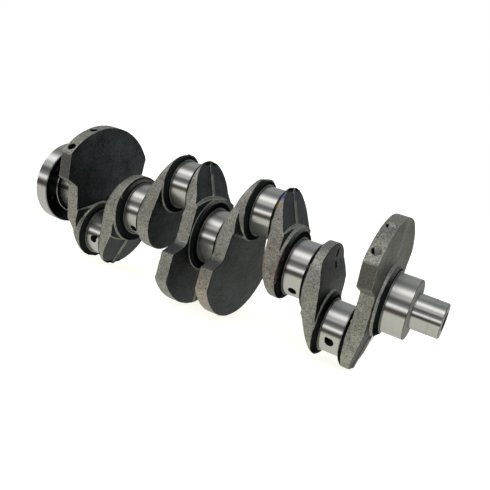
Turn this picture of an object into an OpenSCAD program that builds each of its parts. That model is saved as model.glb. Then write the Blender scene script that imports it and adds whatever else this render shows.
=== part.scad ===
// Forged steel crankshaft of an inline four-cylinder engine.
// Five main journals, four crankpins and eight webs. Webs 1, 4, 5 and 8 carry
// counterweights. The shaft's axis is X, with the nose towards +X and the
// flywheel flange towards -X. The origin is the centre of main journal 3.
// Crankpins 2 and 3 point up (+Z), crankpins 1 and 4 point down (-Z).
// The shaft is one forging. Its nodes are its functional sections, which meet
// face to face, and the loose dowel pin in the flange.

/* [Stroke and spacing] */
// Distance between neighbouring cylinder centres
bore_pitch = 91.5; // [89:0.5:95]
// Stroke of the piston, which is twice the crank throw
stroke = 79; // [76:0.5:82]

/* [Journals] */
// Diameter of the main journals
main_d = 54; // [52:0.5:55]
// Length of a main journal between its webs
main_len = 20.1; // [19:0.1:22]
// Diameter of the crankpins
pin_d = 48; // [46:0.5:49]
// Length of a crankpin between its webs
pin_len = 20.6; // [19:0.1:22]
// Width of the grinding relief at each end of a journal
relief_w = 0.6; // [0.4:0.1:2]
// Depth of the grinding relief
relief_depth = 0.3; // [0.2:0.1:0.8]
// Height of the shoulder ring that stands above a journal at its web
shoulder_h = 1.3; // [0.8:0.1:1.8]
// Thickness of that shoulder ring
shoulder_w = 0.5; // [0.4:0.1:1.2]

/* [Webs] */
// Radius of the rims of counterweights 1, 5 and 8
cw_r = 73.3; // [70:0.1:76]
// Radius of the rim of counterweight 4
cw_r_4 = 69.7; // [67:0.1:73]
// Thickness of the counterweight plates
cw_t = 13; // [11:0.5:15]
// Half width of a counterweight at its shoulder
cw_shoulder_y = 58; // [55:0.5:60]
// Radius of a web's rounded end behind the crankpin
pin_end_r = 30.5; // [30:0.5:32]
// Radius of a web's rounded end behind the main journal
main_end_r = 36.5; // [36:0.5:38]
// Reach of webs 3 and 4 along their throw, where their tips are trimmed flat
tip_reach = 68.3; // [67:0.1:69.5]
// Radius of the balance drillings in the counterweight rims
balance_r = 4; // [3:0.5:5]
// Depth of the balance drillings
balance_depth = 16; // [8:1:22]

/* [Nose] */
// Diameter of the nose that carries the timing sprocket and the pulley
nose_d = 31.7; // [28:0.1:34]
// Length of the nose in front of main journal 1
nose_len = 25.6; // [24:0.1:34]
// Length of the slightly smaller front land of the nose
nose_land_len = 9.6; // [6:0.1:12]
// Radius of the tapped hole for the pulley bolt
bolt_r = 6.25; // [5:0.25:7]
// Depth of that hole
bolt_depth = 24; // [15:1:24]

/* [Flywheel flange] */
// Diameter of the flange
flange_d = 87; // [84:0.5:92]
// Thickness of the flange
flange_t = 14.7; // [12:0.1:18]
// Diameter of the oil thrower collar beside main journal 5
collar_d = 62; // [58:0.5:66]
// Thickness of that collar
collar_t = 3.2; // [2:0.1:5]
// Pitch circle diameter of the flywheel bolts
flywheel_pcd = 65; // [60:0.5:68]
// Number of flywheel bolts
flywheel_bolts = 6; // [6, 8]
// Radius of the tapped holes for the flywheel bolts
flywheel_bolt_r = 4.5; // [4:0.25:5]
// Radius of the spigot bore that centres the flywheel
spigot_r = 17; // [14:0.5:20]
// Depth of the spigot bore
spigot_depth = 9; // [6:0.5:10]
// Radius of the dowel pin that times the flywheel
dowel_r = 4; // [3:0.5:4]
// Length of the dowel pin
dowel_len = 18; // [14:1:20]
// How far the dowel pin stands out of the flange
dowel_out = 8; // [6:1:10]

/* [Oil drillings] */
// Radius of the oil drillings
oil_r = 2.75; // [2:0.25:3]
// Radius of the chamfered mouth of a drilling
oil_mouth_r = 4.4; // [3.5:0.1:5]
// Angle of the cross drilling in main journals 2 and 4, from +Y towards +Z
main_oil_angle = 40.5; // [30:0.5:50]
// Angles of the crankpins' oil holes, from +Y towards +Z, seen with the pin on top
pin_oil_angles = [20, 16, 16, 10]; // [5:1:30]

/* [Hidden] */
$fn = 96;

throw_r = stroke / 2;
web_len = (bore_pitch - main_len - pin_len) / 2;
main_r = main_d / 2;
pin_r = pin_d / 2;
nose_r = nose_d / 2;
flange_r = flange_d / 2;
cut = 0.1;                            // how far a cut runs past a face
chamfer = 0.8;                        // edge breaks of the turned sections

// Recess of a counterweight's faces below the journal bosses
cw_recess = (web_len - cw_t) / 2;
gable_z = 7;                          // lowest point of the pad's gabled edge
gable_lean = 14;                      // slope of that edge
boss_h = 3.5;                         // height of a boss's bevelled side
boss_grow = 3.5;                      // how far that side spreads
main_boss_r = main_r + 6;
main_boss_r_1 = main_r + 2.5;         // on web 1
pin_boss_r = pin_r + 3.5;
pin_boss_deep = web_len - 8;          // the crankpin boss, from its own face
pad_rise = 3.1;                       // the pad's height above a plate, at gable_z
pad_slope = 0.2;                      // how fast it falls towards the crankpin

// Counterweight outline, with the throw along +Y of the sketch
cw_corner_y = cw_shoulder_y + 1.7;    // half width at the rim's corners
cw_corner_y_1 = cw_shoulder_y + 4.5;  // on web 1
cw_corner_r = 4;                      // rounding of the back corner
function cw_corner(r, y) = [y, -sqrt(r * r - y * y)];
cw_shoulder = [cw_shoulder_y, -16];
neck_root_y = 43;                     // half width of the neck at its root
neck_root_y_1 = 39;                   // on webs 1 and 5
neck_root_z = -8.5;
neck_top = [36, 28];
neck_fillet_r = 9;
neck_fillet_end_r = 3;                // on webs 1 and 8

// Bevel of a web's crankpin end, on the main journal's side: a point of its
// plane, as distance from the journal's boss and reach, and how fast the plane
// runs back. It starts on an arc around the journal.
bevel_start = [6.5, 28];
bevel_slope = 0.4;
bevel_slope_1 = 0.2;                  // on web 1
bevel_slope_4 = 0.3;                  // on web 4
bevel_arc_r = 85;
main_end_shift = 3;                   // the main end's circle, off the axis
edge_h = 3.5;                         // bevelled edges of the main ends
edge_shift = 4;                       // their cones, off the journals' axes
main_edge_r = main_boss_r - 0.5;
rib_w = 3.2;                          // forging rib on the bevel
rib_h = 1.5;

balance_angles_1 = [25.3, 49.4];      // from +Z towards -Y
balance_angles_8 = [22.2, 48.2];

silver = [0.78, 0.79, 0.8];
forged = [0.5, 0.49, 0.45];
dark_steel = [0.3, 0.31, 0.32];

// Places along the shaft
function main_x(k) = (3 - k) * bore_pitch;
function pin_x(k) = (2.5 - k) * bore_pitch;
function bevel_depth(reach, slope) =
    bevel_start.x + (reach - bevel_start.y) * slope;
function pad_face(recess, reach) =
    recess + cw_t + pad_rise - (reach - gable_z) * pad_slope;
function pin_up(k) = k == 2 || k == 3;
function pin_z(k) = pin_up(k) ? throw_r : -throw_r;
function web_pin(i) = ceil(i / 2);
function web_odd(i) = i % 2 == 1;
function web_face_x(i) = web_odd(i) ? main_x(web_pin(i)) - main_len / 2
                                    : main_x(web_pin(i) + 1) + main_len / 2;
front_x = main_x(1) + main_len / 2;
rear_x = main_x(5) - main_len / 2;
flange_front_x = rear_x - collar_t;
flange_rear_x = flange_front_x - flange_t;

// Stands a turned section along +X, from its radius and distance sketch
module turned() {
    rotate([0, 90, 0]) rotate_extrude() children();
}

// Drilling of radius r between two points, run past both ends by extra
module drilling(from, to, r, extra = 0) {
    run = to - from;
    reach = norm(run);
    translate(from)
        rotate([0, acos(run.z / reach), atan2(run.y, run.x)])
            translate([0, 0, -extra])
                cylinder(r = r, h = reach + 2 * extra);
}

// Countersink whose mouth lies on the surface at a point, opening outwards
module countersink(mouth, out, wide, narrow) {
    depth = wide - narrow;
    reach = norm(out);
    translate(mouth)
        rotate([0, acos(out.z / reach), atan2(out.y, out.x)])
            translate([0, 0, -depth])
                cylinder(r1 = narrow, r2 = wide + cut, h = depth + cut);
}

// ---- oil drillings ----

// Where the drilling of crankpin k opens on its surface
function pin_oil_side(k) = pin_up(k) ? 1 : -1;
function pin_oil_out(k) =
    let (a = pin_oil_angles[k - 1]) pin_oil_side(k) * [0, cos(a), sin(a)];
function pin_oil_mouth(k) =
    [pin_x(k), 0, pin_z(k)] + pin_r * pin_oil_out(k);

// Crankpins 1 and 2 are fed from main journal 2, and 3 and 4 from journal 4
function feed_main(k) = k <= 2 ? 2 : 4;

module pin_feed(k) {
    drilling([main_x(feed_main(k)), 0, 0], pin_oil_mouth(k), oil_r, cut);
    countersink(pin_oil_mouth(k), pin_oil_out(k), oil_mouth_r, oil_r);
}

module main_cross_drilling(k) {
    out = [0, cos(main_oil_angle), sin(main_oil_angle)];
    centre = [main_x(k), 0, 0];
    drilling(centre - main_r * out, centre + main_r * out, oil_r, cut);
    for (side = [-1, 1])
        countersink(centre + side * main_r * out, side * out,
                    oil_mouth_r, oil_r);
}

// ---- turned and ground sections ----

// Sketch of a journal from x = 0 to x = len, with a relief and a shoulder
// ring at each end that meets a web
module journal_sketch(r, len, web_at_start, web_at_end) {
    polygon([
        [0, 0],
        each (web_at_start ? journal_end(r) : plain_end(r)),
        each [for (p = reversed(web_at_end ? journal_end(r) : plain_end(r)))
              [p.x, len - p.y]],
        [0, len]]);
}

function reversed(list) = [for (i = [len(list) - 1 : -1 : 0]) list[i]];
function plain_end(r) = [[r - chamfer, 0], [r, chamfer]];
function journal_end(r) = [
    [r + shoulder_h, 0],
    [r + shoulder_h, shoulder_w],
    [r - relief_depth, shoulder_w],
    [r - relief_depth, shoulder_w + relief_w],
    [r, shoulder_w + relief_w + relief_depth]];

module main_section(k) {
    color(silver)
    difference() {
        translate([main_x(k) + main_len / 2, 0, 0])
            mirror([1, 0, 0])
                turned() journal_sketch(main_r, main_len, k > 1, k < 5);
        if (k == 2 || k == 4) {
            main_cross_drilling(k);
            for (pin = [k - 1, k]) pin_feed(pin);
        }
    }
}

module pin_section(k) {
    color(silver)
    difference() {
        translate([pin_x(k) - pin_len / 2, 0, pin_z(k)])
            turned() journal_sketch(pin_r, pin_len, true, true);
        pin_feed(k);
    }
}

// ---- webs ----

// A concave corner's fillet: the filled corner less a circle that touches both
// edges. a and b are points on the two edges that meet at corner. The filling
// reaches into the body, and the circle is a little large, so that it crosses
// the edges cleanly.
module corner_fill(corner, a, b, r) {
    ua = (a - corner) / norm(a - corner);
    ub = (b - corner) / norm(b - corner);
    out = (ua + ub) / norm(ua + ub);
    half = acos(ua * ub) / 2;
    back = r / tan(half);
    middle = corner + out * r / sin(half);
    difference() {
        polygon([corner - 2 * out, corner + ua * back, middle,
                 corner + ub * back]);
        translate(middle) circle(r = r + 0.05);
    }
}

// A convex corner's rounding, to be cut away: the corner less a circle that
// touches both edges. a and b are points on the two edges that meet at corner.
module corner_round(corner, a, b, r) {
    ua = (a - corner) / norm(a - corner);
    ub = (b - corner) / norm(b - corner);
    out = -(ua + ub) / norm(ua + ub);
    half = acos(ua * ub) / 2;
    back = r / tan(half);
    middle = corner - out * r / sin(half);
    difference() {
        polygon([corner + 2 * out, corner + ua * back + out, middle,
                 corner + ub * back + out]);
        translate(middle) circle(r = r - 0.05);
    }
}

// Outline of a counterweighted web with a rim of radius r that ends at corner_y
// on each side, a neck root_y wide to each side at its root, and one of its
// corners rounded. side is 1 or -1, the rounded corner's side.
module cw_outline(side = 1, r = cw_r, corner_y = cw_corner_y,
                  root_y = neck_root_y, fillet_r = neck_fillet_r) {
    corner = cw_corner(r, corner_y);
    rim_angle = atan2(corner.y, corner.x) - 8;
    mirror([side == 1 ? 0 : 1, 0])
        difference() {
            cw_sharp_outline(r, corner, [root_y, neck_root_z], fillet_r);
            corner_round(corner, cw_shoulder,
                         r * [cos(rim_angle), sin(rim_angle)], cw_corner_r);
        }
}

module cw_sharp_outline(r, corner, root, fillet_r) {
    wide = r + 5;
    beyond = corner + (corner - cw_shoulder) * 0.2;
    intersection() {
        circle(r = r);
        polygon([[-wide, -wide], [wide, -wide], beyond, cw_shoulder,
                 root, [-root.x, root.y],
                 [-cw_shoulder.x, cw_shoulder.y], [-beyond.x, beyond.y]]);
    }
    polygon([[-root.x, root.y - 1], [root.x, root.y - 1],
             root, neck_top, [pin_end_r, throw_r],
             [-pin_end_r, throw_r], [-neck_top.x, neck_top.y],
             [-root.x, root.y]]);
    translate([0, throw_r]) circle(r = pin_end_r);
    for (side = [0, 1])
        mirror([side, 0])
            corner_fill(root, cw_shoulder, neck_top, fillet_r);
}

// Outline of a slim web: two round ends and straight sides. The sides are the
// ends' common tangents, a little inside the smaller circle, so that they cross
// it cleanly.
module slim_outline() {
    low = [0, main_end_shift];
    high = [0, throw_r];
    lean = asin((main_end_r - pin_end_r) / (high.y - low.y));
    side = [cos(lean), sin(lean)];
    inside_r = pin_end_r - 0.1;
    translate(low) circle(r = main_end_r);
    translate(high) circle(r = pin_end_r);
    polygon([low + main_end_r * side, high + inside_r * side,
             high + inside_r * [-side.x, side.y],
             low + main_end_r * [-side.x, side.y]]);
}

// Side view of a counterweighted web, before its bevel is cut. Its neck gets
// thinner towards the crankpin.
module cw_profile(recess) {
    low = -cw_r - 1;
    high = throw_r;
    thinning_z = gable_z + pad_rise / pad_slope;
    polygon([[recess, low], [recess, high], [pad_face(recess, high), high],
             [recess + cw_t, thinning_z], [recess + cw_t, low]]);
}

// Side view of a slim web, before its bevel is cut. Its end behind the main
// journal is thinned on the crankpin's side by tail.
module slim_profile(tail) {
    low = -main_end_r - 1;
    high = throw_r + pin_end_r + 1;
    polygon([[2.5, low], [5.5, 0], bevel_start, [bevel_start.x, high],
             [web_len - 4, high], [web_len - 4, 40], [web_len - 5, 24],
             [web_len - 7, 0], [web_len - tail, low]]);
}

// Cuts the bevel of the crankpin end, outside a main journal's boss of radius
// boss_r, and its tip flat at trim
module bevelled(slope, trim, boss_r) {
    wide = 2 * cw_r;
    low = 20;
    high = throw_r + pin_end_r + 5;
    arc_top = boss_r + boss_grow + 0.3;
    difference() {
        children();
        difference() {
            rotate([90, 0, 0])
                linear_extrude(height = wide, center = true)
                    polygon([[-1, low], [bevel_depth(low, slope), low],
                             [bevel_depth(high, slope), high], [-1, high]]);
            translate([-2, 0, arc_top - bevel_arc_r])
                rotate([0, 90, 0])
                    cylinder(r = bevel_arc_r, h = 2 * web_len);
        }
        translate([-1, -wide / 2, trim]) cube([web_len + 2, wide, 10]);
    }
}

// Boss beside a journal: flat ring, then a bevelled side
module boss(r, deep) {
    turned()
        polygon([[0, 0], [r, 0], [r + boss_grow, boss_h],
                 [r + boss_grow, deep], [0, deep]]);
}

// Raised pad around the crankpin on a counterweighted web whose plate starts at
// recess. Its face falls towards the crankpin, and its gabled edge slopes down
// to the plate.
module pin_pad(recess, root_y) {
    high = throw_r;
    low = gable_z - cw_t;
    intersection() {
        rotate([90, 0, 90])
            linear_extrude(height = web_len)
                cw_outline(root_y = root_y);
        rotate([90, 0, 0])
            linear_extrude(height = 3 * cw_r, center = true)
                polygon([[recess, low], [recess, high],
                         [pad_face(recess, high), high],
                         [pad_face(recess, low), low]]);
        pad_side(recess, gable_lean);
        pad_side(recess, -gable_lean);
    }
}

// What lies above one slope of the pad's gabled edge
module pad_side(recess, lean) {
    x = web_len;
    translate([0, 0, gable_z])
        rotate([lean, 0, 0])
            rotate([90, 0, 0])
                linear_extrude(height = 3 * cw_r, center = true)
                    polygon([[recess, -cw_t], [x, x - recess - cw_t],
                             [x, 2 * cw_r], [recess, 2 * cw_r]]);
}

// Outline of a web of either kind, as a sketch for the plane across the shaft
module web_outline(counterweight, side, r, corner_y, root_y, fillet_r) {
    if (counterweight) cw_outline(side, r, corner_y, root_y, fillet_r);
    else slim_outline();
}

// Web with its throw along +Z, from its main journal's face at x = 0 to its
// crankpin's face at x = web_len. tail is how far a slim web's end behind the
// main journal is bevelled, recess is the distance of a counterweight's plate
// from the main journal's face, and boss_r is the radius of that journal's boss.
module web_body(counterweight, tail, recess, side, r, corner_y, root_y, fillet_r,
                slope, trim, boss_r) {
    bevelled(slope, trim, boss_r) {
        intersection() {
            rotate([90, 0, 90])
                linear_extrude(height = web_len)
                    web_outline(counterweight, side, r, corner_y, root_y,
                                fillet_r);
            rotate([90, 0, 0])
                linear_extrude(height = 2 * cw_r + 2, center = true)
                    if (counterweight) cw_profile(recess);
                    else slim_profile(tail);
        }
        intersection() {
            union() {
                boss(boss_r, web_len / 2);
                translate([web_len, 0, throw_r])
                    mirror([1, 0, 0]) boss(pin_boss_r, pin_boss_deep);
            }
            rotate([90, 0, 90])
                linear_extrude(height = web_len)
                    web_outline(counterweight, side, r, corner_y, root_y,
                                fillet_r);
        }
        if (counterweight) pin_pad(recess, root_y);
    }
    forging_rib(slope, trim, boss_r);
}

// Cuts back the edge of a web's round end beside a journal: what is outside a
// cone that opens from the journal's face at x = 0, on the end's outer half.
// The end points to -Z.
module end_edge(r) {
    wide = 2 * r;
    difference() {
        translate([-1, -wide / 2, -wide]) cube([edge_h + 1, wide, wide]);
        turned()
            polygon([[0, -2], [r - 2, -2], [r + edge_h + 1, edge_h + 1],
                     [0, edge_h + 1]]);
    }
}

// Rib that the dies leave down the middle of the bevel
module forging_rib(slope, trim, boss_r) {
    low = boss_r + boss_grow - 1;
    high = trim - 0.5;
    rotate([90, 0, 0])
        linear_extrude(height = rib_w, center = true)
            polygon([[bevel_depth(low, slope) - rib_h, low],
                     [bevel_depth(high, slope) - rib_h, high],
                     [bevel_depth(high, slope) + 1, high],
                     [bevel_depth(low, slope) + 1, low]]);
}

// Puts a web where it belongs on the shaft
module placed_web(i) {
    translate([web_face_x(i), 0, 0])
        mirror([web_odd(i) ? 1 : 0, 0, 0])
            rotate([pin_up(web_pin(i)) ? 0 : 180, 0, 0])
                children();
}

module balance_drillings(i, angles) {
    middle = web_face_x(i) + (web_odd(i) ? -1 : 1) * (cw_recess + cw_t / 2);
    for (a = angles) {
        out = [0, -sin(a), cos(a)];
        drilling([middle, 0, 0] + (cw_r - balance_depth) * out,
                 [middle, 0, 0] + (cw_r + 1) * out, balance_r);
    }
}

module web_section(i, counterweight, tail = 15, recess = cw_recess,
                   r = cw_r, corner_y = cw_corner_y, root_y = neck_root_y,
                   fillet_r = neck_fillet_r, slope = bevel_slope,
                   trim = throw_r + pin_end_r, boss_r = main_boss_r) {
    side = pin_up(web_pin(i)) ? 1 : -1;
    color(forged)
    difference() {
        placed_web(i) difference() {
            web_body(counterweight, tail, recess, side, r, corner_y, root_y,
                     fillet_r, slope, trim, boss_r);
            if (!counterweight)
                translate([0, 0, edge_shift]) end_edge(main_edge_r);
        }
        if (i == 2 || i == 3 || i == 6 || i == 7) pin_feed(web_pin(i));
        if (i == 1) balance_drillings(i, balance_angles_1);
        if (i == 8) balance_drillings(i, balance_angles_8);
    }
}

// ---- nose and flange ----

module nose() {
    land_r = nose_r - 0.2;
    land_x = nose_len - nose_land_len;
    color(silver)
    translate([front_x, 0, 0])
        turned()
            polygon([[0, 0], [nose_r, 0], [nose_r, land_x - 0.4],
                     [land_r - 0.2, land_x - 0.4], [land_r - 0.2, land_x],
                     [land_r, land_x], [land_r, nose_len - chamfer],
                     [land_r - chamfer, nose_len],
                     [bolt_r + 2.5, nose_len], [bolt_r, nose_len - 2.5],
                     [bolt_r, nose_len - bolt_depth],
                     [0, nose_len - bolt_depth]]);
}

module oil_thrower_collar() {
    r = collar_d / 2;
    color(silver)
    translate([flange_front_x, 0, 0])
        turned()
            polygon([[0, 0], [r, 0], [r, collar_t - 0.6],
                     [r - 0.6, collar_t], [0, collar_t]]);
}

// Where the dowel pin sits, half way between two bolts
dowel_angle = 90 + 180 / flywheel_bolts;
dowel_y = flywheel_pcd / 2 * cos(dowel_angle);
dowel_z = flywheel_pcd / 2 * sin(dowel_angle);

module flywheel_flange() {
    edge = 0.8;
    color(silver)
    translate([flange_rear_x, 0, 0])
    difference() {
        turned()
            polygon([[spigot_r + edge, 0], [flange_r - edge, 0],
                     [flange_r, edge], [flange_r, flange_t - edge],
                     [flange_r - edge, flange_t], [0, flange_t],
                     [0, spigot_depth], [spigot_r, spigot_depth],
                     [spigot_r, edge]]);
        for (i = [0 : flywheel_bolts - 1])
            rotate([i * 360 / flywheel_bolts, 0, 0])
                translate([-cut, 0, flywheel_pcd / 2])
                    rotate([0, 90, 0])
                        cylinder(r = flywheel_bolt_r, h = flange_t + 2 * cut);
        translate([-cut, dowel_y, dowel_z])
            rotate([0, 90, 0])
                cylinder(r = dowel_r, h = dowel_len - dowel_out + cut);
    }
}

module flywheel_dowel_pin() {
    edge = 0.8;
    color(dark_steel)
    translate([flange_rear_x - dowel_out, dowel_y, dowel_z])
        turned()
            polygon([[0, 0], [dowel_r - edge, 0], [dowel_r, edge],
                     [dowel_r, dowel_len], [0, dowel_len]]);
}

module main_journal_1() { main_section(1); }
module main_journal_2() { main_section(2); }
module main_journal_3() { main_section(3); }
module main_journal_4() { main_section(4); }
module main_journal_5() { main_section(5); }
module crankpin_1() { pin_section(1); }
module crankpin_2() { pin_section(2); }
module crankpin_3() { pin_section(3); }
module crankpin_4() { pin_section(4); }
module web_1() {
    web_section(1, true, corner_y = cw_corner_y_1, root_y = neck_root_y_1,
                fillet_r = neck_fillet_end_r, slope = bevel_slope_1,
                boss_r = main_boss_r_1);
}
module web_2() { web_section(2, false, 19); }
module web_3() { web_section(3, false, trim = tip_reach); }
module web_4() {
    web_section(4, true, r = cw_r_4, slope = bevel_slope_4,
                trim = tip_reach);
}
module web_5() {
    web_section(5, true, recess = cw_recess - 2, root_y = neck_root_y_1);
}
module web_6() { web_section(6, false, 10); }
module web_7() { web_section(7, false, 13); }
module web_8() { web_section(8, true, fillet_r = neck_fillet_end_r); }

nose();
main_journal_1();
main_journal_2();
main_journal_3();
main_journal_4();
main_journal_5();
crankpin_1();
crankpin_2();
crankpin_3();
crankpin_4();
web_1();
web_2();
web_3();
web_4();
web_5();
web_6();
web_7();
web_8();
oil_thrower_collar();
flywheel_flange();
flywheel_dowel_pin();
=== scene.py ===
"""Looks of a forged steel crankshaft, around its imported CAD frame.

Journals, crankpins, nose, collar, flange and dowel keep their CAD shapes and get
ground or turned steel materials. Each web is replaced by a forging of the same
shape, with softened edges and an uneven skin. Lengths are in metres. The
shaft's axis is X, its nose points to +X, and Z is up.
"""

import math

import bmesh
import bpy
import numpy as np
from mathutils import Matrix, Vector, noise


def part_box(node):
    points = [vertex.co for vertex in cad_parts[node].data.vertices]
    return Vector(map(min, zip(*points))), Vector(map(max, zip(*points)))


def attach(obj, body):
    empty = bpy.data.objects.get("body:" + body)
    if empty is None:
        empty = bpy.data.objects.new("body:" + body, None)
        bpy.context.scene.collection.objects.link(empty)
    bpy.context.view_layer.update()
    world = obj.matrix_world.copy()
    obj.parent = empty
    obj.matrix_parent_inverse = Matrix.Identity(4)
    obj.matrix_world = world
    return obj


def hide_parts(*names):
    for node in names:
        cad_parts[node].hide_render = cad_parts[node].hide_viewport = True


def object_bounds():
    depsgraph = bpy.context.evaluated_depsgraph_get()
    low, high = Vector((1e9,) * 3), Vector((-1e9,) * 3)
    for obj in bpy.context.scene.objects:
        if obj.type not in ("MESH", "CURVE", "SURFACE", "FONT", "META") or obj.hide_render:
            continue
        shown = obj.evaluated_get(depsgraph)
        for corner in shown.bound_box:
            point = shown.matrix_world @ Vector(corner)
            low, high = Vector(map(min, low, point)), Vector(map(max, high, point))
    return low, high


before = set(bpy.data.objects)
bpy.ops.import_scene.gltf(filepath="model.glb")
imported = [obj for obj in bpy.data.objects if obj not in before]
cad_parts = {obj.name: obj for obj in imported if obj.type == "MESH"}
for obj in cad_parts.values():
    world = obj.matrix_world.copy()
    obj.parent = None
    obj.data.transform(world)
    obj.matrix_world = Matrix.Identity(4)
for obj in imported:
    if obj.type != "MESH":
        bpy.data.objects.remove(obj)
cad_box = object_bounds()
scene = bpy.context.scene

MM = 0.001

# ---- driving dimensions of the CAD model ----

BORE_PITCH = 91.5 * MM
THROW = 39.5 * MM
MAIN_R = 27 * MM
PIN_R = 24 * MM
MAIN_LEN = 20.1 * MM
PIN_LEN = 20.6 * MM
WEB_LEN = (BORE_PITCH - MAIN_LEN - PIN_LEN) / 2
SHOULDER_W = 0.5 * MM
RELIEF_END = 1.4 * MM  # from a journal's end to where its ground surface starts
MAIN_BOSS_R = MAIN_R + 6 * MM
MAIN_BOSS_R_1 = MAIN_R + 2.5 * MM  # on web 1
PIN_BOSS_R = PIN_R + 3.5 * MM
BOSS_GROW = 3.5 * MM  # how much wider a boss gets down to the cheek
CW_R = 73.3 * MM
FLANGE_FRONT = -196 * MM  # a quarter of a millimetre before its front face
BOLT_COUNT = 6
BOLT_PCD = 65 * MM
BOLT_R = 4.5 * MM
BALANCE_R = 4 * MM
BALANCE_ANGLES = {1: (25.3, 49.4), 8: (22.2, 48.2)}  # degrees from +Z towards -Y


def web_middle(web):
    """Place along the shaft of a web's middle. Web 1 is next to the nose."""
    journal = (2 - web // 2) * BORE_PITCH
    pin = (1.5 - (web - 1) // 2) * BORE_PITCH
    outward = math.copysign(1, journal - pin)
    return (journal + pin + outward * (PIN_LEN - MAIN_LEN) / 2) / 2


# ---- colours ----

# Journals, crankpins, nose, collar, flange and dowel
GROUND_STEEL = (0.49, 0.485, 0.465)
# Painted shade in the journals' grinding reliefs
RELIEF_SHADE = 0.04
SHOULDER_STEEL = (0.30, 0.30, 0.29)
TURNED_STEEL = (0.46, 0.455, 0.44)
# Painted shade on turned faces towards the nose, black painted shade on the flange's front face
TURNED_FACE_SHADE = (0.055, 0.06, 0.062)
FLANGE_FACE_SHADE = (0.014, 0.017, 0.018)
HARDENED_STEEL = (0.40, 0.39, 0.37)
# Painted black shade inside holes and bores
HOLE_SHADE = 0.012

# Webs
RIM = (0.30, 0.295, 0.26)
# Painted shade on the webs' cheeks
CHEEK_SHADE = (0.040, 0.048, 0.051)
OLIVE_CHEEK = (0.125, 0.126, 0.108)
FLAT = (0.075, 0.073, 0.066)
# Painted shade in the hollows of webs 4 and 5
HOLLOW_SHADE = (0.085, 0.095, 0.10)
# Bosses: painted shade, painted light on their upper parts, a painted highlight line and painted
# black shade on the turned ring
BOSS_SHADE = (0.012, 0.014, 0.015)
BOSS_RING_SHADE = (0.02, 0.021, 0.022)
BOSS_EDGE_HIGHLIGHT = (0.36, 0.36, 0.34)
MAIN_BOSS_TOP_LIGHT = 0.22
PIN_BOSS_TOP_LIGHT = 0.04
# Painted highlights on the dies' rib and on web 8's gabled pad edge
RIB_HIGHLIGHT = (0.26, 0.245, 0.20)
GABLE_HIGHLIGHT = (0.46, 0.44, 0.37)
LAP_BLACK = (0.008, 0.009, 0.009)
# Painted highlight on the webs' convex edges
EDGE_HIGHLIGHT = (0.46, 0.445, 0.39)
RUST = (0.17, 0.115, 0.075)
PIT = (0.035, 0.026, 0.018)
PALE_BLOCK = (0.46, 0.40, 0.34)
RUST_SPOT = (0.10, 0.035, 0.025)
STRAW_TINT = (0.30, 0.19, 0.08)
BLUE_TINT = (0.05, 0.08, 0.22)
# Painted light and shade in the balance drillings
DRILLED_LIT = (1.0, 1.0, 0.97)
DRILLED_SHADED = 0.02
DRILLED_SHADE = 0.10

# ---- forged skin ----

WELD = 0.001 * MM
VOXEL = 0.85 * MM
SMOOTHING = 0.5
SMOOTH_STEPS = 3
SKIN_WAVES = [  # (wavelength, height) of the skin's unevenness
    (14 * MM, 0.16 * MM),
    (4.5 * MM, 0.08 * MM),
    (2.4 * MM, 0.07 * MM),
]

# ---- shader graphs ----


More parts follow.
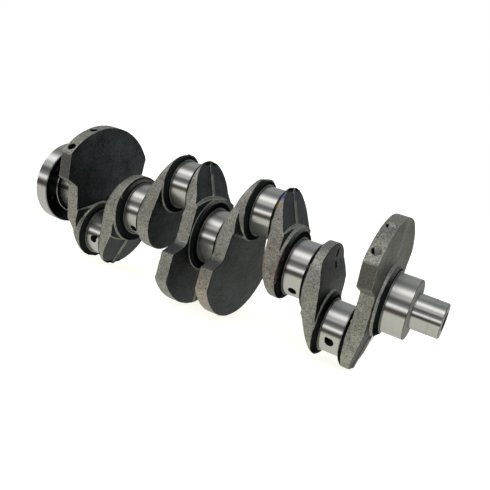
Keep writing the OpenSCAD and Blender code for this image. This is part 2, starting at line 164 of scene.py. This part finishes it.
class Graph:
    """Shader nodes of one material or world. Each method returns a socket.

    Scales of noises and cells are per metre.
    """

    def __init__(self, owner):
        owner.use_nodes = True
        self.tree = owner.node_tree
        self.tree.nodes.clear()

    def add(self, kind, inputs=None, output=0, **settings):
        """A node with sockets or values at its inputs. Output None gives no socket."""
        node = self.tree.nodes.new(kind)
        for key, setting in settings.items():
            setattr(node, key, setting)
        for key, item in (inputs or {}).items():
            if isinstance(item, bpy.types.NodeSocket):
                self.tree.links.new(item, node.inputs[key])
            else:
                node.inputs[key].default_value = item
        return None if output is None else node.outputs[output]

    def math(self, operation, a, b=0.0):
        return self.add("ShaderNodeMath", {0: a, 1: b}, operation=operation)

    def fold(self, operation, first, *others):
        """One operation over several values, from left to right."""
        for other in others:
            first = self.math(operation, first, other)
        return first

    def total(self, *values):
        return self.fold("ADD", *values)

    def both(self, *masks):
        """1 where every mask is 1."""
        return self.fold("MULTIPLY", *masks)

    def either(self, *masks):
        """1 where at least one mask is 1."""
        return self.fold("MAXIMUM", *masks)

    def inverse(self, mask):
        return self.math("SUBTRACT", 1.0, mask)

    def parts(self, vector):
        """x, y and z of a vector."""
        split = self.add("ShaderNodeSeparateXYZ", {0: vector}).node
        return [split.outputs[i] for i in range(3)]

    def vector(self, x, y, z):
        return self.add("ShaderNodeCombineXYZ", {0: x, 1: y, 2: z})

    def length(self, a, b):
        squares = self.total(self.math("POWER", a, 2), self.math("POWER", b, 2))
        return self.math("SQRT", squares)

    def noise(self, vector, scale, detail, roughness):
        return self.add(
            "ShaderNodeTexNoise",
            {"Vector": vector, "Scale": scale, "Detail": detail, "Roughness": roughness},
        )

    def lines(self, along, scale, detail, roughness):
        """Noise that changes along one measure only."""
        return self.noise(self.vector(along, 0.0, 0.0), scale, detail, roughness)

    def cells(self, vector, scale):
        """Distance to the nearest of many scattered points."""
        return self.add("ShaderNodeTexVoronoi", {"Vector": vector, "Scale": scale}, "Distance")

    def mask(self, value, start, end):
        """0 at start and 1 at end, with a smooth step between."""
        return self.add(
            "ShaderNodeMapRange",
            {"Value": value, "From Min": start, "From Max": end},
            interpolation_type="SMOOTHSTEP",
        )

    def band(self, value, low, high, soft):
        """1 between low and high, 0 outside."""
        return self.both(
            self.mask(value, low - soft, low + soft),
            self.mask(value, high + soft, high - soft),
        )

    def range(self, value, low, high):
        """Scales a value of 0 to 1 to low to high."""
        return self.add("ShaderNodeMapRange", {"Value": value, "To Min": low, "To Max": high})

    def mix(self, factor, a, b):
        """Blend of two colours, a at 0 and b at 1."""
        return self.add(
            "ShaderNodeMix",
            {0: factor, 6: colour(a), 7: colour(b)},
            2,
            data_type="RGBA",
        )

    def paint(self, under, mask, over, strength=1.0):
        """A colour with another laid over it where the mask is 1."""
        return self.mix(self.math("MULTIPLY", mask, strength), under, over)

    def scaled(self, rgb, factor):
        """A colour times a grey factor."""
        return self.add(
            "ShaderNodeMix",
            {0: 1.0, 6: colour(rgb), 7: self.vector(factor, factor, factor)},
            2,
            data_type="RGBA",
            blend_type="MULTIPLY",
        )

    def ramp(self, factor, stops):
        """A colour ramp through stops of (position, brightness or colour)."""
        socket = self.add("ShaderNodeValToRGB", {0: factor})
        elements = socket.node.color_ramp.elements
        while len(elements) < len(stops):
            elements.new(0.5)
        for element, (position, level) in zip(elements, stops):
            element.position = position
            element.color = colour(level)
        return socket

    def bump(self, height, distance):
        return self.add("ShaderNodeBump", {"Height": height, "Distance": distance, "Strength": 1.0})


def colour(c):
    """A socket as it is, and a grey level or RGB as RGBA."""
    if isinstance(c, bpy.types.NodeSocket):
        return c
    if isinstance(c, (int, float)):
        c = (c, c, c)
    return (*c, 1.0)


def place(g):
    """The point's own coordinates, which are the frame's at rest."""
    return g.add("ShaderNodeTexCoord", output="Object")


def facing(g):
    """x, y and z of the surface's normal."""
    return g.parts(g.add("ShaderNodeNewGeometry", output="Normal"))


def along_from(g, x, offset):
    """Distance along the shaft from the nearest place offset + k * BORE_PITCH."""
    turns = g.math("ADD", g.math("DIVIDE", x, BORE_PITCH), 0.5 - offset / BORE_PITCH)
    part = g.math("SUBTRACT", g.math("FRACT", turns), 0.5)
    return g.math("MULTIPLY", g.math("ABSOLUTE", part), BORE_PITCH)


def from_axis(g, y, z, height):
    """Distance from the line along the shaft at a height above or below its axis."""
    return g.length(y, g.math("SUBTRACT", g.math("ABSOLUTE", z), height))


# ---- ground and turned steel ----

# How much of its shine a metal keeps where shade is painted
SHADED_SHINE = 0.35  # of a clean metal's shine at a flat angle
LINES_ANISOTROPY = 0.9


def metal(name, build, ground=False):
    """A metal. build(graph) gives colour, roughness, normal, and a mask that dims the shine under
    painted shade and laps, or None.
    """
    material = bpy.data.materials.new(name)
    g = Graph(material)
    rgb, roughness, normal, painted_shade = build(g)
    inputs = {
        "Base Color": colour(rgb),
        "Roughness": roughness,
        "Metallic": 1.0,
        "Normal": normal,
    }
    if painted_shade is not None:
        # Painted shade also dims the shine
        inputs["Specular Tint"] = g.mix(painted_shade, 1.0, SHADED_SHINE)
    if ground:
        # The finish's lines circle the shaft, so its reflections spread along it
        inputs["Anisotropic"] = LINES_ANISOTROPY
        inputs["Tangent"] = g.vector(1.0, g.math("ABSOLUTE", facing(g)[0]), 0.0)
    surface = g.add("ShaderNodeBsdfPrincipled", inputs)
    g.add("ShaderNodeOutputMaterial", {"Surface": surface}, None)
    return material


def ground_journal(name, offset, length, axis_height, ground_r):
    """Ground steel with fine lines round the journal, painted shade in its grinding reliefs and
    painted black shade in its drillings.
    """

    def build(g):
        x, y, z = g.parts(place(g))
        radius = from_axis(g, y, z, axis_height)
        end = g.math("SUBTRACT", length / 2, along_from(g, x, offset))
        lines = g.lines(x, 5200, 3, 0.7)
        broad = g.lines(x, 420, 2, 0.6)
        scuffs = g.noise(g.vector(g.math("MULTIPLY", x, 9.0), y, z), 160, 3, 0.6)
        relief = g.both(
            g.mask(end, SHOULDER_W + 0.45 * MM, SHOULDER_W + 0.25 * MM),
            g.mask(end, SHOULDER_W - 0.05 * MM, SHOULDER_W + 0.05 * MM),
        )
        shoulder = g.mask(end, SHOULDER_W + 0.05 * MM, SHOULDER_W - 0.05 * MM)
        drilled = g.both(
            g.mask(radius, ground_r - 0.14 * MM, ground_r - 0.32 * MM),
            g.mask(end, RELIEF_END, RELIEF_END + 0.5 * MM),
        )
        shine = g.total(
            g.range(lines, 0.88, 1.04), g.range(broad, -0.05, 0.05), g.range(scuffs, -0.06, 0.06)
        )
        rgb = g.scaled(GROUND_STEEL, shine)
        # Painted shade in the grinding relief next to each web
        rgb = g.paint(rgb, relief, RELIEF_SHADE)
        rgb = g.paint(rgb, shoulder, SHOULDER_STEEL)
        # Painted black shade inside the oil drillings
        rgb = g.paint(rgb, drilled, HOLE_SHADE)
        dull = g.either(drilled, relief, shoulder)
        roughness = g.total(g.range(scuffs, 0.18, 0.26), g.math("MULTIPLY", dull, 0.3))
        return rgb, roughness, g.bump(lines, 0.004 * MM), None

    return metal(name, build, ground=True)


def turned_steel(g):
    """Lathe-turned steel, with lines that circle the shaft on every face, and painted shade on faces
    towards the nose.
    """
    point = place(g)
    x, y, z = g.parts(point)
    radius = g.length(y, z)
    across = g.total(x, radius)
    lines = g.lines(across, 3600, 3, 0.7)
    broad = g.lines(across, 300, 2, 0.6)
    stain = g.noise(point, 90, 3, 0.55)
    shine = g.total(
        g.range(lines, 0.84, 1.06), g.range(broad, -0.05, 0.05), g.range(stain, -0.07, 0.07)
    )
    # Faces towards the nose get painted shade, and the flange's front face painted black shade
    face = g.mask(facing(g)[0], 0.5, 0.9)
    at_flange = g.mask(x, FLANGE_FRONT + 8 * MM, FLANGE_FRONT + 2 * MM)
    front = g.mix(at_flange, TURNED_FACE_SHADE, FLANGE_FACE_SHADE)
    rgb = g.mix(face, g.scaled(TURNED_STEEL, shine), g.scaled(front, shine))
    # Painted black shade inside the bolt holes and the nose's bore
    rgb = g.paint(rgb, g.either(bolt_holes(g, x, y, z, radius), nose_bore(g, x, radius)), HOLE_SHADE)
    roughness = g.total(g.range(stain, 0.08, 0.18), g.math("MULTIPLY", face, 0.1))
    return rgb, roughness, g.bump(lines, 0.010 * MM), g.both(face, at_flange)


def bolt_holes(g, x, y, z, radius):
    """1 inside the flange's bolt holes."""
    step = math.tau / BOLT_COUNT
    turns = g.math("DIVIDE", g.math("ARCTAN2", y, z), step)
    off = g.math("SUBTRACT", g.math("FRACT", g.math("ADD", turns, 0.5)), 0.5)
    off = g.math("MULTIPLY", off, step)
    along = g.math("MULTIPLY", radius, g.math("COSINE", off))
    across = g.math("MULTIPLY", radius, g.math("SINE", off))
    away = g.length(g.math("SUBTRACT", along, BOLT_PCD / 2), across)
    return g.both(
        g.mask(away, BOLT_R + 0.25 * MM, BOLT_R + 0.05 * MM),
        g.mask(x, FLANGE_FRONT + 2 * MM, FLANGE_FRONT),
    )


def nose_bore(g, x, radius):
    """1 inside the nose's tapped bore and on its chamfer."""
    return g.both(g.mask(radius, 9.3 * MM, 8.9 * MM), g.mask(x, 150 * MM, 160 * MM))


def hardened_pin(g):
    """A dowel's centreless-ground, slightly dark surface."""
    point = place(g)
    lines = g.lines(g.parts(point)[0], 4200, 2, 0.6)
    stain = g.noise(point, 220, 3, 0.5)
    shine = g.total(g.range(lines, 0.85, 1.05), g.range(stain, -0.1, 0.1))
    rgb = g.scaled(HARDENED_STEEL, shine)
    return rgb, g.range(stain, 0.16, 0.30), g.bump(lines, 0.006 * MM), None


# ---- forged skin's material ----


class Skin:
    """What the steps of the webs' look share: measures, masks and noises."""

    def __init__(self, g):
        point = place(g)
        self.x, self.y, self.z = g.parts(point)
        self.forward, _, self.upward = facing(g)
        self.width = g.math("ABSOLUTE", self.y)
        self.main_r = g.length(self.y, self.z)
        self.pin_r = from_axis(g, self.y, self.z, THROW)
        self.main_end = g.math("SUBTRACT", along_from(g, self.x, 0.0), MAIN_LEN / 2)
        self.pin_end = g.math("SUBTRACT", along_from(g, self.x, BORE_PITCH / 2), PIN_LEN / 2)
        self.web = {web: near_web(g, self.x, web) for web in (1, 2, 3, 4, 5, 8)}

        flatness = g.math("ABSOLUTE", self.forward)
        self.on_cheek = g.mask(flatness, 0.62, 0.86)
        self.on_rim = g.mask(flatness, 0.8, 0.5)
        self.off_face = g.mask(flatness, 0.95, 0.8)

        self.grain = g.noise(point, 700, 4, 0.7)
        self.mottle = g.noise(point, 210, 3, 0.6)
        self.clouds = g.noise(point, 45, 3, 0.55)
        self.pits = g.both(g.mask(g.cells(point, 380), 0.32, 0.14), g.mask(self.mottle, 0.48, 0.60))
        self.spots = g.mask(g.cells(point, 260), 0.22, 0.12)
        speckle = g.noise(point, 1500, 2, 0.6)
        self.shade = g.total(
            g.range(g.mask(self.grain, 0.34, 0.66), 0.6, 1.4),
            g.range(speckle, -0.35, 0.35),
            g.range(self.mottle, -0.3, 0.3),
            g.range(self.clouds, -0.25, 0.25),
        )
        self.rusty = g.total(
            g.both(
                self.web[3],
                g.mask(self.z, 34 * MM, 24 * MM),
                g.mask(self.z, -40 * MM, -20 * MM),
            ),
            g.both(self.web[4], g.mask(self.z, 8 * MM, -8 * MM)),
        )


def near_web(g, x, web):
    """1 at one web's place along the shaft, 0 elsewhere."""
    middle = web_middle(web)
    return g.band(x, middle - WEB_LEN / 2, middle + WEB_LEN / 2, 1 * MM)


def forged_skin(g):
    """Forged web: pale blasted rims, turned bosses, painted light, shade and highlights, rust and
    tints.
    """
    s = Skin(g)
    # Cheeks, which face along the shaft, get painted shade
    rgb = g.mix(s.on_cheek, rim_look(g, s), cheek_look(g, s))
    rgb, painted_shade = with_bosses(g, s, rgb)
    rgb = with_die_marks(g, s, rgb)
    laps = skin_laps(g, s)
    rgb = g.paint(rgb, laps, LAP_BLACK)
    # Painted highlight along convex edges off the cheeks
    edge = g.mask(g.add("ShaderNodeNewGeometry", output="Pointiness"), 0.52, 0.58)
    rgb = g.paint(rgb, g.both(edge, s.off_face), EDGE_HIGHLIGHT, 0.7)
    rgb = with_rust(g, s, rgb)
    rgb = with_heat_tints(g, s, rgb)
    # Painted light in web 1's balance drillings
    lit_drillings = balance_holes(g, s, 1)
    rgb = with_balance_holes(g, s, rgb, lit_drillings)

    roughness = g.total(
        g.range(s.grain, 0.34, 0.54),
        g.math("MULTIPLY", s.pits, 0.3),
        g.math("MULTIPLY", lit_drillings, 0.2),
    )
    height = g.math(
        "SUBTRACT",
        g.total(s.grain, g.math("MULTIPLY", s.mottle, 1.2)),
        g.math("MULTIPLY", s.pits, 0.8),
    )
    return rgb, roughness, g.bump(height, 0.32 * MM), g.either(painted_shade, laps)


def rim_look(g, s):
    """Pale rims, with darker as-forged flats and painted shade in hollows."""
    rgb = g.scaled(RIM, s.shade)
    # Beside the rims of the counterweights at the shaft's ends
    flats = g.both(
        g.either(s.web[1], s.web[8]),
        g.band(s.z, 16 * MM, 41 * MM, 1.5 * MM),
        g.mask(s.width, 55 * MM, 57 * MM),
        g.mask(s.main_r, CW_R - 0.4 * MM, CW_R - 1.2 * MM),
    )
    rgb = g.paint(rgb, flats, FLAT, 0.8)
    # Painted shade in the hollows where the necks of webs 4 and 5 meet their blocks
    hollows = g.both(
        g.either(s.web[4], s.web[5]),
        g.mask(s.upward, 0.35, 0.62),
        g.band(s.z, -24 * MM, -2 * MM, 3 * MM),
    )
    return g.paint(rgb, hollows, HOLLOW_SHADE, 0.85)


def cheek_look(g, s):
    """Cheeks with painted shade between the webs, olive on the upper part of web 1."""
    olive = g.both(s.web[1], g.mask(s.z, -4 * MM, 12 * MM))
    rgb = g.mix(olive, CHEEK_SHADE, OLIVE_CHEEK)
    return g.scaled(rgb, g.total(s.shade, g.range(s.clouds, -0.9, 0.9)))


def with_bosses(g, s, rgb):
    """Lays the bosses round the journals, with painted light and shade, over a colour. Also gives
    their painted shade's mask.
    """
    at_1 = g.mask(s.x, web_middle(1) - WEB_LEN / 2, web_middle(1))
    narrower = g.math("MULTIPLY", at_1, MAIN_BOSS_R_1 - MAIN_BOSS_R)
    up = g.mask(s.upward, 0.4, 0.85)
    painted_shade = []
    for depth, radius, boss_r, top in (
        (s.main_end, g.math("SUBTRACT", s.main_r, narrower), MAIN_BOSS_R, MAIN_BOSS_TOP_LIGHT),
        (s.pin_end, s.pin_r, PIN_BOSS_R, PIN_BOSS_TOP_LIGHT),
    ):
        outer_r = boss_r + BOSS_GROW
        boss = g.both(
            g.mask(depth, 4.3 * MM, 3.7 * MM),
            g.mask(radius, outer_r + 0.5 * MM, outer_r + 0.1 * MM),
        )
        # A painted highlight line runs round the boss, and the turned ring that faces the journal
        # gets painted black shade
        line = g.both(
            boss,
            g.mask(radius, outer_r - 0.45 * MM, outer_r - 0.15 * MM),
            g.mask(depth, 2.6 * MM, 3.0 * MM),
        )
        ring = g.mask(depth, 0.7 * MM, 0.35 * MM)
        # Painted shade on the boss's cone, with painted light where it faces up
        cone = g.scaled(g.mix(up, BOSS_SHADE, (top, top, 0.9 * top)), s.shade)
        lathe = g.range(g.lines(radius, 3000, 3, 0.7), 0.4, 1.6)
        tone = g.mix(ring, cone, g.scaled(BOSS_RING_SHADE, lathe))
        tone = g.paint(tone, line, BOSS_EDGE_HIGHLIGHT, 0.8)
        rgb = g.mix(boss, rgb, tone)
        painted_shade.append(g.both(boss, g.inverse(up), g.inverse(line)))
    return rgb, g.either(*painted_shade)


def with_die_marks(g, s, rgb):
    """Lays painted highlights along the dies' rib on the bevels and on web 8's gabled pad edge, over
    a colour.
    """
    rib = g.both(
        g.mask(s.width, 2.6 * MM, 2.0 * MM),
        s.on_cheek,
        g.mask(s.main_r, 37.5 * MM, 39 * MM),
        g.mask(s.pin_end, 8 * MM, 9 * MM),
    )
    # Painted highlight along the dies' rib
    rgb = g.paint(rgb, rib, RIB_HIGHLIGHT, 0.75)
    boss_edge = PIN_BOSS_R + BOSS_GROW
    gable = g.both(
        s.web[8],
        g.band(s.forward, 0.35, 0.93, 0.04),
        g.band(s.z, -21 * MM, -1 * MM, 1 * MM),
        g.mask(s.pin_r, boss_edge, boss_edge + 0.4 * MM),
    )
    # Painted highlight on web 8's gabled pad edge
    return g.paint(rgb, gable, GABLE_HIGHLIGHT, 0.85)


def skin_laps(g, s):
    """1 in two short laps in the skin of web 2's cheek."""
    return g.both(
        s.web[2],
        g.band(s.y, 3.5 * MM, 8.0 * MM, 0.6 * MM),
        g.total(
            g.band(s.z, 20 * MM, 28 * MM, 1 * MM),
            g.band(s.z, 10 * MM, 16 * MM, 1 * MM),
        ),
        s.on_cheek,
    )


def with_rust(g, s, rgb):
    """Lays rust, pits and web 4's spotted pale block over a colour."""
    rust = g.both(s.rusty, s.on_rim, g.mask(s.mottle, 0.42, 0.62))
    rgb = g.paint(rgb, rust, RUST, 0.5)
    pit_depth = g.total(0.5, g.math("MULTIPLY", s.rusty, 0.4))
    rgb = g.paint(rgb, g.both(s.pits, pit_depth), PIT)
    pale = g.both(s.web[4], g.mask(s.z, -24 * MM, -30 * MM), s.on_rim)
    rgb = g.paint(rgb, pale, g.scaled(PALE_BLOCK, s.shade), 0.5)
    return g.paint(rgb, g.both(pale, s.spots), RUST_SPOT, 0.8)


def with_heat_tints(g, s, rgb):
    """Lays straw and blue heat tints over a colour, at web 3's tip."""
    tip = g.both(s.web[3], s.on_rim)
    straw = g.both(tip, g.band(s.z, 50 * MM, 58 * MM, 3 * MM))
    blue = g.both(tip, g.band(s.z, 58 * MM, 64 * MM, 2.5 * MM))
    rgb = g.paint(rgb, straw, STRAW_TINT, 0.35)
    return g.paint(rgb, blue, BLUE_TINT, 0.75)


def balance_holes(g, s, web):
    """1 in line with a web's balance drillings and inside its rim's radius.

    That is in the drillings, and also on the surface opposite them.
    """
    in_line = []
    for degrees in BALANCE_ANGLES[web]:
        angle = math.radians(degrees)
        across = g.total(
            g.math("MULTIPLY", s.y, math.cos(angle)),
            g.math("MULTIPLY", s.z, math.sin(angle)),
        )
        off = g.length(across, g.math("SUBTRACT", s.x, web_middle(web)))
        in_line.append(g.mask(off, BALANCE_R + 0.9 * MM, BALANCE_R + 0.4 * MM))
    inside = g.mask(s.main_r, CW_R - 0.6 * MM, CW_R - 1.4 * MM)
    return g.both(g.either(*in_line), inside)


def with_balance_holes(g, s, rgb, lit_drillings):
    """Lays painted light in web 1's drillings, with painted shade towards the flange, and painted
    shade in web 8's.
    """
    off_middle = g.math("SUBTRACT", s.x, web_middle(1))
    shaded = g.mask(off_middle, -2.2 * MM, -3.2 * MM)
    rgb = g.mix(lit_drillings, rgb, g.mix(shaded, DRILLED_LIT, DRILLED_SHADED))
    return g.paint(rgb, balance_holes(g, s, 8), DRILLED_SHADE)


# ---- forged webs ----


def softened_copy(node):
    """A new piece with a CAD node's shape and soft edges."""
    solid = bmesh.new()
    solid.from_mesh(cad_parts[node].data)
    bmesh.ops.remove_doubles(solid, verts=solid.verts, dist=WELD)
    mesh = bpy.data.meshes.new(node + "_forging")
    solid.to_mesh(mesh)
    solid.free()
    piece = bpy.data.objects.new(node + "_forging", mesh)
    scene.collection.objects.link(piece)

    remesh = piece.modifiers.new("remesh", "REMESH")
    remesh.mode = "VOXEL"
    remesh.voxel_size = VOXEL
    smooth = piece.modifiers.new("smooth", "SMOOTH")
    smooth.factor = SMOOTHING
    smooth.iterations = SMOOTH_STEPS
    depsgraph = bpy.context.evaluated_depsgraph_get()
    skin = bpy.data.meshes.new_from_object(piece.evaluated_get(depsgraph))
    piece.modifiers.clear()
    piece.data = skin
    bpy.data.meshes.remove(mesh)
    return piece


def skin_offset(point):
    """Height of the forging's uneven skin at a point."""
    return sum(
        height * noise.noise(point / wavelength) for wavelength, height in SKIN_WAVES
    )


def make_uneven(mesh, box):
    """Moves a mesh's points in or out by the skin's height, but not out of the box."""
    count = len(mesh.vertices)
    places, normals = (np.empty(3 * count, np.float32) for _ in range(2))
    mesh.vertices.foreach_get("co", places)
    mesh.vertices.foreach_get("normal", normals)
    places, normals = places.reshape(-1, 3), normals.reshape(-1, 3)
    offsets = np.array([skin_offset(Vector(p)) for p in places])
    places = np.clip(places + normals * offsets[:, None], *box)
    mesh.vertices.foreach_set("co", places.astype(np.float32).ravel())
    mesh.update()
    mesh.shade_smooth()


def forging_of(node, material):
    """Replaces a web's CAD solid by its forged form."""
    piece = softened_copy(node)
    make_uneven(piece.data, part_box(node))
    piece.data.materials.clear()
    piece.data.materials.append(material)
    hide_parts(node)
    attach(piece, "root")


def repaint(node, material):
    """Gives a CAD node a better material."""
    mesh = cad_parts[node].data
    mesh.materials.clear()
    mesh.materials.append(material)


skin_material = metal("forged_skin_look", forged_skin)
for web in range(1, 9):
    forging_of(f"web_{web}", skin_material)

main_material = ground_journal("main_journal_look", 0.0, MAIN_LEN, 0.0, MAIN_R)
pin_material = ground_journal("crankpin_look", BORE_PITCH / 2, PIN_LEN, THROW, PIN_R)
turned_material = metal("turned_steel_look", turned_steel)
for k in range(1, 6):
    repaint(f"main_journal_{k}", main_material)
for k in range(1, 5):
    repaint(f"crankpin_{k}", pin_material)
for node in ("nose", "oil_thrower_collar", "flywheel_flange"):
    repaint(node, turned_material)
repaint("flywheel_dowel_pin", metal("hardened_pin_look", hardened_pin))


# ---- floor, light and camera ----

FLOOR_SIZE = 6.0
FLOOR_COLOUR = (0.5, 0.5, 0.47)
FLOOR_GLOW = (1.0, 1.0, 0.93)
FLOOR_GLOW_STRENGTH = 0.82


def white_floor():
    """A floor under the shaft that the steel doesn't mirror."""
    low = cad_box[0].z
    half = FLOOR_SIZE / 2
    corners = [(-half, -half, low), (half, -half, low), (half, half, low), (-half, half, low)]
    mesh = bpy.data.meshes.new("floor")
    mesh.from_pydata(corners, [], [(0, 1, 2, 3)])
    floor = bpy.data.objects.new("floor", mesh)
    scene.collection.objects.link(floor)
    material = bpy.data.materials.new("floor_white")
    g = Graph(material)
    surface = g.add(
        "ShaderNodeBsdfPrincipled",
        {
            "Base Color": colour(FLOOR_COLOUR),
            "Roughness": 1.0,
            "Specular IOR Level": 0.0,
            "Emission Color": colour(FLOOR_GLOW),
            "Emission Strength": FLOOR_GLOW_STRENGTH,
        },
    )
    g.add("ShaderNodeOutputMaterial", {"Surface": surface}, None)
    mesh.materials.append(material)
    floor.visible_glossy = False


# Brightness of the room round the shaft's axis, by degrees above the front
# horizon: 90 is overhead and 180 the back horizon
ROOM = [
    (-180, (0.50, 0.50, 0.46)),
    (-90, (0.93, 0.93, 0.85)),
    (-29, (0.97, 0.97, 0.88)),
    (-22, (0.13, 0.11, 0.10)),
    (-9, (0.13, 0.11, 0.10)),
    (-4, 0.9),
    (2, 1.9),
    (6, 1.5),
    (11, 0.45),
    (24, (0.16, 0.17, 0.18)),
    (31, 0.25),
    (39, 0.95),
    (48, 0.80),
    (58, 1.75),
    (66, 1.95),
    (72, 1.5),
    (80, 0.7),
    (90, (0.36, 0.38, 0.40)),
    (100, (0.32, 0.34, 0.35)),
    (118, (0.50, 0.52, 0.53)),
    (140, (0.44, 0.46, 0.47)),
    (160, (0.40, 0.42, 0.43)),
    (180, 0.50),
]
FILL = 1.8  # how much brighter the room is for matt surfaces


def studio():
    """A room of soft light bands that run along the shaft, white to the camera."""
    world = bpy.data.worlds.new("studio")
    scene.world = world
    g = Graph(world)
    _, y, z = g.parts(g.add("ShaderNodeTexCoord", output="Generated"))
    turn = g.math("ARCTAN2", z, g.math("MULTIPLY", y, -1.0))
    turn = g.math("ADD", g.math("DIVIDE", turn, math.tau), 0.5)
    room = g.ramp(turn, [(0.5 + degrees / 360, level) for degrees, level in ROOM])
    path = g.add("ShaderNodeLightPath").node
    strength = g.range(path.outputs["Is Diffuse Ray"], 1.0, FILL)
    around = g.add("ShaderNodeBackground", {"Color": room, "Strength": strength})
    white = g.add("ShaderNodeBackground", {"Color": colour(1.0), "Strength": 1.0})
    seen = path.outputs["Is Camera Ray"]
    surface = g.add("ShaderNodeMixShader", {0: seen, 1: around, 2: white})
    g.add("ShaderNodeOutputWorld", {"Surface": surface}, None)


# The camera that the photograph's outlines fit, with angles in degrees and the
# lens in millimetres
CAMERA_AT = (0.25476, -0.48456, 0.12282)
CAMERA_AZIMUTH = 25.288
CAMERA_ELEVATION = 12.705
CAMERA_ROLL = 14.472
CAMERA_LENS = 42.0
SENSOR_WIDTH = 36
CLIP_START = 10 * MM


def photo_camera():
    """The photograph's camera, which looks at the shaft from its front and nose end."""
    azimuth, elevation, roll = (
        math.radians(d) for d in (CAMERA_AZIMUTH, CAMERA_ELEVATION, CAMERA_ROLL)
    )
    back = Vector(
        (
            math.sin(azimuth) * math.cos(elevation),
            -math.cos(azimuth) * math.cos(elevation),
            math.sin(elevation),
        )
    )
    level = Vector((math.cos(azimuth), math.sin(azimuth), 0))
    upright = back.cross(level)
    right = math.cos(roll) * level + math.sin(roll) * upright
    up = -math.sin(roll) * level + math.cos(roll) * upright
    data = bpy.data.cameras.new("camera")
    data.lens = CAMERA_LENS
    data.sensor_width = SENSOR_WIDTH
    data.clip_start = CLIP_START
    camera = bpy.data.objects.new("camera", data)
    turned = Matrix((right, up, back)).transposed().to_4x4()
    camera.matrix_world = Matrix.Translation(CAMERA_AT) @ turned
    scene.collection.objects.link(camera)
    scene.camera = camera


white_floor()
studio()
photo_camera()
scene.view_settings.view_transform = "Standard"
